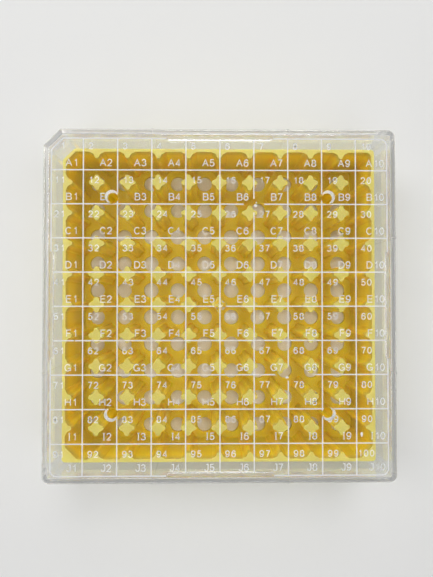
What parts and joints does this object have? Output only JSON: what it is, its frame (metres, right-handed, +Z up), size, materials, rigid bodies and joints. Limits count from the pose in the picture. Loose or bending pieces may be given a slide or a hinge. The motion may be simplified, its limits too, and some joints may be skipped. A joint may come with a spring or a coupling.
{
  "type": "cell storage box",
  "caption": "Square box with a moulded base of standing posts that part it into a grid of round tube cells, and a clear lift-off lid with a printed index grid.",
  "frame": {"origin": "middle of the box's footprint, at the height of the face that it stands on", "axes": "+X along the rows, from column 1 to column 10; +Y from row j to row a; +Z up, the way that the lid lifts"},
  "size_m": [0.1344, 0.1344, 0.0529],
  "materials": {
    "base_plastic": "satin moulded yellow",
    "lid_plastic": "clear moulded",
    "print_ink": "white screen print"
  },
  "bodies": {
    "base": {"floor_row_a": "base_plastic", "floor_row_b": "base_plastic", "floor_row_c": "base_plastic", "floor_row_d": "base_plastic", "floor_row_e": "base_plastic", "floor_row_f": "base_plastic", "floor_row_g": "base_plastic", "floor_row_h": "base_plastic", "floor_row_i": "base_plastic", "floor_row_j": "base_plastic", "post_row_1": "base_plastic", "post_row_2": "base_plastic", "post_row_3": "base_plastic", "post_row_4": "base_plastic", "post_row_5": "base_plastic", "post_row_6": "base_plastic", "post_row_7": "base_plastic", "post_row_8": "base_plastic", "post_row_9": "base_plastic", "base_wall_a": "base_plastic", "base_wall_1": "base_plastic", "base_wall_j": "base_plastic", "base_wall_10": "base_plastic", "base_corner_a1": "base_plastic", "base_corner_j1": "base_plastic", "base_corner_j10": "base_plastic", "base_corner_a10": "base_plastic"},
    "lid": {"lid_plate": "lid_plastic", "lid_wall_a": "lid_plastic", "lid_wall_1": "lid_plastic", "lid_wall_j": "lid_plastic", "lid_wall_10": "lid_plastic", "lid_corner_a1": "lid_plastic", "lid_corner_j1": "lid_plastic", "lid_corner_j10": "lid_plastic", "lid_corner_a10": "lid_plastic", "stacking_ridge_a": "lid_plastic", "stacking_ridge_1": "lid_plastic", "stacking_ridge_j": "lid_plastic", "stacking_ridge_10": "lid_plastic"}
  },
  "joints": [
    {"name": "lid_lift", "type": "slide", "parent": "base", "child": "lid", "axis": [0, 0, 1], "range_m": [0, 0.06]}
  ]
}
